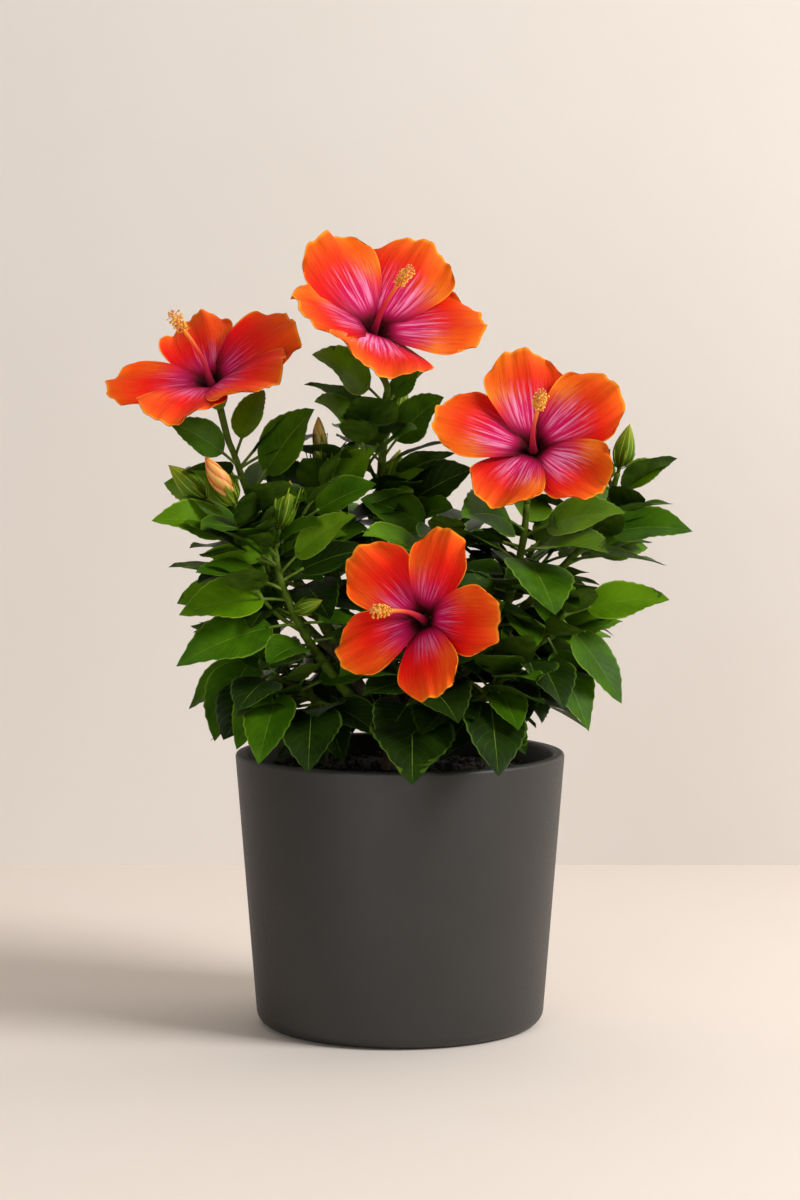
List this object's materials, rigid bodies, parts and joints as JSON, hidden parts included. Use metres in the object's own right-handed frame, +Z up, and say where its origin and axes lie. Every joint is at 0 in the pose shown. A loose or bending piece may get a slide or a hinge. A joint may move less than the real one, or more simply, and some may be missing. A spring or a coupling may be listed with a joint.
{
  "type": "potted hibiscus shrub",
  "caption": "Bushy hibiscus shrub in a plain round tapered pot, with glossy toothed leaves, buds and large open orange and crimson blooms.",
  "frame": {"origin": "centre of the pot's flat underside", "axes": "+Z up along the pot's axis, -Y towards the side the blooms face, +X to the right seen from there"},
  "size_m": [0.4033, 0.32, 0.5504],
  "materials": {
    "pot": "matte, smooth, anthracite",
    "soil": "dark crumbly potting mix",
    "bark": "thin grey-brown bark",
    "leaf": "glossy deep green leaf",
    "petal": "soft satin petal, orange with a crimson throat"
  },
  "bodies": {
    "root": {"pot": "pot", "soil": "soil", "trunk": "bark", "bough_centre": "bark", "bough_upper_left": "bark", "bough_upper_right": "bark", "bough_front": "bark", "bough_left_front": "bark", "bough_right_bud": "bark", "bough_back": "bark", "bough_left_buds": "bark", "bough_centre_left": "bark", "bough_middle": "bark", "bough_right_low": "bark", "bough_front_right": "bark", "bough_left_low": "bark", "bough_back_left": "bark", "bough_back_right": "bark", "bough_low_left": "bark", "bough_low_right": "bark", "bough_low_back": "bark", "bloom_top": "petal", "bloom_upper_left": "petal", "bloom_upper_right": "petal", "bloom_front": "petal", "foliage_centre": "leaf", "foliage_upper_left": "leaf", "foliage_upper_right": "leaf", "foliage_front": "leaf", "foliage_left_front": "leaf", "foliage_right_bud": "leaf", "foliage_back": "leaf", "foliage_left_buds": "leaf", "foliage_centre_left": "leaf", "foliage_middle": "leaf", "foliage_right_low": "leaf", "foliage_front_right": "leaf", "foliage_left_low": "leaf", "foliage_back_left": "leaf", "foliage_back_right": "leaf", "foliage_low_left": "leaf", "foliage_low_right": "leaf", "foliage_low_back": "leaf"}
  },
  "joints": []
}
